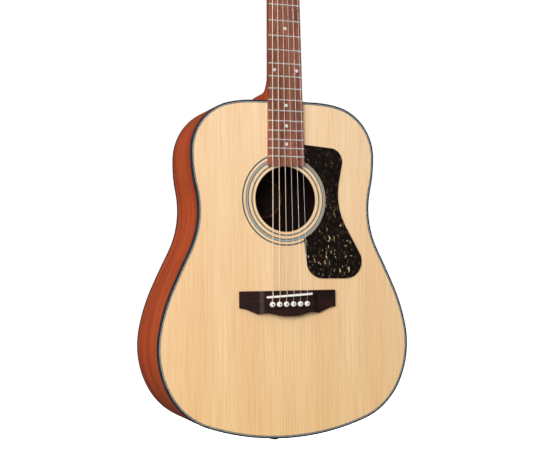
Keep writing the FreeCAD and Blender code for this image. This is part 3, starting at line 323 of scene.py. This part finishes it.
def tortoise():
    """Near-black tortoise pattern: flakes of cream and brown lying at all angles in a dark field."""
    s = Shade("tortoise_plate", roughness=0.3, Specular_IOR_Level=0.35,
              Coat_Weight=0.2, Coat_Roughness=0.06)
    flat = s.vector_math("MULTIPLY", s.place, (1.0, 0.0, 1.0))
    warp = s.add("ShaderNodeTexNoise", flat)
    warp.inputs["Scale"].default_value = 160.0
    warp.inputs["Detail"].default_value = 3.0
    shift = s.vector_math("SUBTRACT", warp.outputs["Color"], (0.5, 0.5, 0.5))
    shift = s.vector_math("MULTIPLY", shift, (FLAKE_WARP, 0.0, FLAKE_WARP))
    place = s.vector_math("ADD", flat, shift)

    def flakes(size, stretch, low, high, angle, offset):
        turned = s.add("ShaderNodeMapping", place)
        turned.inputs["Location"].default_value = (offset, 0.0, offset)
        turned.inputs["Rotation"].default_value = (0.0, angle, 0.0)
        turned.inputs["Scale"].default_value = (1.0 / size, 1.0, 1.0 / (size * stretch))
        return s.span(s.noise(turned.outputs[0], detail=4.0, rough=0.55, distortion=0.3), low, high)

    black = linear(8, 6, 5)
    brown = linear(84, 58, 40)
    tan = linear(150, 118, 86)
    cream = linear(236, 204, 160)
    lower = s.span(s.z, hole.z + 0.01, hole.z - 0.06)
    base = s.mix(flakes(0.0034, 2.2, 0.60, 0.67, 0.5, 3.0), black, brown)
    base = s.mix(flakes(0.0020, 2.8, 0.60, 0.65, 1.3, 11.0), base, brown)
    base = s.mix(flakes(0.0022, 2.2, 0.67, 0.70, 2.3, 23.0), base, tan)
    base = s.mix(flakes(0.0030, 2.6, 0.70, 0.72, 0.9, 37.0), base, cream)
    streaks = s.math("MULTIPLY", flakes(0.0036, 4.2, 0.64, 0.665, 2.5, 51.0), lower)
    base = s.mix(streaks, base, cream)
    flecks = s.math("MULTIPLY", flakes(0.0024, 3.0, 0.65, 0.67, 1.1, 67.0), lower)
    base = s.mix(flecks, base, cream)
    s.set(Base_Color=base)
    return s.material


def pearl():
    """Mother-of-pearl: pale with soft drifting tints."""
    s = Shade("pearl_dots", roughness=0.18, Coat_Weight=0.6, Coat_Roughness=0.05)
    drift = s.noise(s.stretched(420.0, 420.0, 420.0), detail=3.0, distortion=1.5)
    green = linear(206, 214, 214)
    white = linear(244, 240, 236)
    rose = linear(214, 206, 216)
    s.set(Base_Color=s.ramp(drift, (0.3, green), (0.5, white), (0.7, rose)))
    return s.material


def paper_label():
    """A round label: dark field, one warm ring near the edge and no lettering; its tones are darkened as
    painted shade inside the body.
    """
    s = Shade("paper_label", roughness=0.75)
    centre = middle("label")
    low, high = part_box("label")
    edge = (high.x - low.x) / 2.0
    share = s.math("DIVIDE", s.radius(centre.x, centre.z), edge)
    # The label's dark field and warm ring are its own colours, darkened further as painted shade inside
    # the closed body.
    dark = linear(58, 34, 26)
    faint = linear(84, 44, 30)
    ring = linear(150, 84, 40)
    fibre = s.noise(s.stretched(500.0, 500.0, 500.0), detail=4.0)
    tone = s.ramp(
        share,
        (0.0, dark), (0.62, faint), (0.66, dark), (0.945, ring), (0.985, dark), interpolation="CONSTANT",
    )
    s.set(Base_Color=s.mix(s.span(fibre, 0.4, 0.7, 0.0, 0.25), tone, linear(40, 26, 20)))
    s.bump(fibre, 0.00003, 0.3)
    return s.material


# ---------------------------------------------------------------- inlay

def rosette_plies():
    """Three inlaid rings of dark and pale plies. The stops are radii as shares of the ring scale."""
    s = Shade("rosette_plies", roughness=0.3, Coat_Weight=0.3, Coat_Roughness=0.2)
    share = s.math("DIVIDE", s.radius(hole.x, hole.z), RING_SCALE)
    dark = linear(58, 68, 72)
    grey = linear(134, 144, 146)
    pale = linear(184, 188, 182)
    tone = s.ramp(
        share,
        (0.0, dark), (0.5345, grey), (0.5415, dark),
        (0.6010, grey), (0.6080, pale), (0.6200, grey), (0.6290, dark),
        (0.6805, grey), (0.6875, dark), interpolation="CONSTANT",
    )
    grain = s.noise(s.stretched(700.0, 0.0, 700.0))
    s.set(Base_Color=s.mix(s.span(grain, 0.3, 0.8, 0.0, 0.18), tone, linear(28, 30, 32)))
    return s.material


# ---------------------------------------------------------------- metals

def metal(name, colour, second, roughness, kx=400.0, ky=400.0, kz=400.0, full=1.0):
    """Metal with fine directional marks. full is how metallic it is: below 1 for a paler, matt face."""
    s = Shade(name, roughness=roughness, Metallic=full)
    marks = s.noise(s.stretched(kx, ky, kz), detail=3.0, rough=0.6)
    s.set(Base_Color=s.mix(s.span(marks, 0.35, 0.7), colour, second))
    s.set(Roughness=s.span(marks, 0.3, 0.7, roughness * 0.75, roughness * 1.3))
    s.bump(marks, 0.00002, 0.3)
    return s.material


def wound_wire():
    """Phosphor-bronze winding: one fine ridge to each turn."""
    s = Shade("wound_bronze", roughness=0.45, Metallic=0.5)
    ridge = s.math("SINE", s.math("MULTIPLY", s.z, 2.0 * math.pi / WINDING_PITCH))
    ridge = s.math("ADD", s.math("MULTIPLY", ridge, 0.5), 0.5)
    tarnish = s.noise(s.stretched(40.0, 40.0, 60.0))
    base = s.mix(s.span(tarnish, 0.35, 0.65), linear(250, 232, 208), linear(242, 222, 196))
    # Between the turns the colour is painted darker: painted shade in the grooves.
    groove_shade = s.math("MULTIPLY", s.math("SUBTRACT", 1.0, ridge), 0.45)
    s.set(Base_Color=s.mix(groove_shade, base, linear(150, 118, 92)))
    s.bump(ridge, 0.00008, 0.6)
    return s.material


# ---------------------------------------------------------------- dress the CAD nodes

def dress(names, material):
    """Give each named CAD node one material."""
    for name in names:
        mesh = nodes[name].data
        mesh.materials.clear()
        mesh.materials.append(material)


def numbered(stem):
    """The CAD nodes of a numbered family."""
    return [name for name in nodes if name.startswith(stem)]


body_reds = (linear(198, 82, 28), linear(168, 60, 20), linear(98, 32, 12))
side_wood = mahogany("mahogany_sides", *body_reds, coat=0.2, along="outline", shell=True)
back_wood = mahogany("mahogany_back", *body_reds, coat=0.2, shell=True)
neck_reds = (linear(196, 78, 10), linear(168, 60, 8), linear(100, 32, 6))
neck_wood = mahogany("mahogany_neck", *neck_reds, coat=0.15)
black_edge = plastic("black_binding", linear(30, 34, 40), linear(44, 50, 58))
ivory = plastic("ivory_line", linear(184, 184, 178), linear(166, 168, 166), roughness=0.35)
dress(["soundboard"], spruce())
dress(["side_bass", "side_treble"], side_wood)
dress(["back_plate"], back_wood)
dress(["neck"], neck_wood)
dress(["top_binding", "back_binding", "tail_wedge", "heel_cap"], black_edge)
dress(["top_purfling"], ivory)
dress(["rosette"], rosette_plies())
dress(["pickguard"], tortoise())

dark_browns = (linear(52, 20, 9), linear(30, 11, 6), linear(10, 4, 3))
dress(["bridge", "headstock_overlay"], rosewood("rosewood_dark", *dark_browns, kx=18.0, kz=160.0))
board_browns = (linear(160, 97, 74), linear(130, 77, 60), linear(64, 33, 27))
dress(["fingerboard"], rosewood("rosewood_board", *board_browns, kx=190.0, kz=9.0))
dress(["saddle", "nut"], bone("bone_white"))
dress(["label"], paper_label())
dress(["position_dots"], pearl())

silver = (linear(236, 236, 230), linear(214, 214, 210))
dress(["frets"], metal("fret_silver", *silver, 0.42, 1200.0, 1200.0, 200.0, full=0.55))
steel = (linear(120, 120, 122), linear(96, 96, 98))
dress(["truss_rod"], metal("rod_steel", *steel, 0.4))
nickel = (linear(226, 222, 214), linear(204, 200, 194))
dress(["tuner_plates", "tuner_bushings", "small_screws"] + numbered("string_post"),
      metal("nickel_plate", *nickel, 0.26, full=0.6))
chrome = (linear(236, 236, 236), linear(214, 214, 216))
dress(numbered("tuner_key"), metal("tuner_chrome", *chrome, 0.2, full=0.6))
brass = (linear(226, 186, 104), linear(196, 154, 80))
dress(numbered("worm_wheel") + ["truss_rod_nut"],
      metal("brass_gear", *brass, 0.32, 900.0, 900.0, 900.0, full=0.65))
dress(["wound_strings"], wound_wire())
bright_steel = (linear(250, 250, 248), linear(240, 240, 238))
dress(["plain_strings"], metal("plain_steel", *bright_steel, 0.45, 900.0, 900.0, 60.0, full=0.5))

blacks = (linear(20, 20, 22), linear(28, 28, 31))
dress(["truss_rod_cover", "end_pin"], plastic("black_plastic", *blacks, roughness=0.2))
whites = (linear(246, 244, 236), linear(236, 232, 220))
dress(numbered("bridge_pin"), plastic("white_plastic", *whites, roughness=0.22))
# The braces, bridge plate, linings and blocks are painted much darker than their woods: painted shade
# inside the closed body.
dress(["x_brace", "top_braces", "back_braces"],
      shaded_inside_wood("brace_spruce", linear(74, 44, 28), linear(54, 30, 18), 30.0, 900.0, 300.0))
dress(["bridge_plate"],
      shaded_inside_wood("maple_plate_painted_shade", linear(74, 46, 30), linear(54, 32, 22), 40.0, 300.0, 500.0))
dress(["linings", "neck_block", "tail_block"],
      shaded_inside_wood("bare_mahogany_painted_shade", linear(46, 18, 12), linear(28, 11, 8), 200.0, 900.0, 60.0))


# ---------------------------------------------------------------- inlaid dots in the bridge pins

def inlay_dot(number, material):
    """A small domed dot let into a bridge pin's head."""
    low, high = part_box("bridge_pin_%d" % number)
    centre = Vector(((low.x + high.x) / 2.0, low.y, (low.z + high.z) / 2.0))
    rings = 4
    sides = 28
    bm = bmesh.new()
    top = bm.verts.new(centre + Vector((0.0, -DOT_RISE, 0.0)))
    previous = None
    for ring in range(1, rings + 2):
        share = min(ring / rings, 1.0)
        radius = DOT_RADIUS * share
        depth = -DOT_RISE * (1.0 - share ** 2) if ring <= rings else DOT_DEPTH
        verts = []
        for side in range(sides):
            angle = 2.0 * math.pi * side / sides
            offset = Vector((math.cos(angle) * radius, depth, math.sin(angle) * radius))
            verts.append(bm.verts.new(centre + offset))
        for side in range(sides):
            following = (side + 1) % sides
            if previous is None:
                bm.faces.new((top, verts[side], verts[following]))
            else:
                bm.faces.new((previous[side], verts[side], verts[following], previous[following]))
        previous = verts
    bm.faces.new(previous)
    bmesh.ops.recalc_face_normals(bm, faces=bm.faces)
    mesh = bpy.data.meshes.new("pin_dot_%d" % number)
    bm.to_mesh(mesh)
    bm.free()
    mesh.polygons.foreach_set("use_smooth", [True] * len(mesh.polygons))
    mesh.materials.append(material)
    obj = bpy.data.objects.new("pin_dot_%d" % number, mesh)
    bpy.context.scene.collection.objects.link(obj)
    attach(obj, "bridge_pin_%d" % number)


dot_material = plastic("pin_dot_black", linear(18, 18, 20), linear(26, 26, 28), roughness=0.3)
for pin_number in range(1, 7):
    inlay_dot(pin_number, dot_material)


# ---------------------------------------------------------------- stage, light and camera

def floor():
    """A pale floor well below the hanging guitar. Reflections and bounced light don't see it."""
    pale = (0.86, 0.86, 0.86, 1.0)
    shade = Shade("pale_floor", roughness=0.8, Base_Color=pale, Emission_Color=pale, Emission_Strength=1.1)
    mesh = bpy.data.meshes.new("floor")
    level = cad_box[0][2] - FLOOR_DROP
    half = FLOOR_HALF
    corners = [(-half, -half, level), (half, -half, level), (half, half, level), (-half, half, level)]
    mesh.from_pydata(corners, [], [(0, 1, 2, 3)])
    obj = bpy.data.objects.new("floor", mesh)
    bpy.context.scene.collection.objects.link(obj)
    mesh.materials.append(shade.material)
    obj.visible_diffuse = False
    obj.visible_glossy = False


def world():
    """Plain white behind everything; the light it gives is dim and comes mostly from the upper left."""
    studio = bpy.data.worlds.new("studio")
    bpy.context.scene.world = studio
    studio.use_nodes = True
    tree = studio.node_tree
    link = tree.links.new
    background = tree.nodes["Background"]
    background.inputs[0].default_value = (1.0, 1.0, 1.0, 1.0)
    towards = tree.nodes.new("ShaderNodeVectorMath")
    towards.operation = "DOT_PRODUCT"
    link(tree.nodes.new("ShaderNodeTexCoord").outputs["Generated"], towards.inputs[0])
    towards.inputs[1].default_value = BRIGHT_SIDE
    left = tree.nodes.new("ShaderNodeMapRange")
    for index, value in enumerate((0.0, 0.95, DIM_LIGHT, BRIGHT_LIGHT)):
        left.inputs[index + 1].default_value = value
    link(towards.outputs["Value"], left.inputs[0])
    seen = tree.nodes.new("ShaderNodeMix")
    link(tree.nodes.new("ShaderNodeLightPath").outputs["Is Camera Ray"], seen.inputs[0])
    link(left.outputs[0], seen.inputs[2])
    seen.inputs[3].default_value = BACKDROP_STRENGTH
    link(seen.outputs[0], background.inputs[1])


def area(name, place, target, size, power):
    """A soft box that faces a target and isn't seen itself."""
    data = bpy.data.lights.new(name, "AREA")
    data.shape = "RECTANGLE"
    data.size, data.size_y = size
    data.energy = power
    obj = bpy.data.objects.new(name, data)
    bpy.context.scene.collection.objects.link(obj)
    obj.location = place
    obj.rotation_euler = (Vector(target) - Vector(place)).to_track_quat("-Z", "Y").to_euler()
    obj.visible_camera = False


def camera():
    """A camera low on the bass side, looking slightly up and across the top."""
    data = bpy.data.cameras.new("camera")
    obj = bpy.data.objects.new("camera", data)
    bpy.context.scene.collection.objects.link(obj)
    obj.location = (-0.5654, -1.3691, -0.6145)
    obj.rotation_euler = [math.radians(a) for a in (93.3334, 0.7685, -20.1608)]
    data.lens = 65.2328
    data.sensor_width = 36.0
    data.shift_x = 0.05042
    data.shift_y = -0.02012
    data.clip_start = 0.05
    data.clip_end = 100.0
    bpy.context.scene.camera = obj


body_middle = (0.0, 0.0, -0.6)
floor()
world()
area("key", (-2.0, -2.5, 0.25), body_middle, (1.8, 1.8), 108.0)
area("fill", (2.2, -1.4, 1.0), body_middle, (1.0, 1.0), 12.0)
area("rim", (-2.6, -1.2, 0.2), (0.0, 0.0, -0.45), (0.5, 1.6), 12.0)
area("back", (1.6, 2.6, 0.7), body_middle, (1.6, 1.6), 60.0)
camera()
bpy.context.scene.view_settings.view_transform = "Standard"
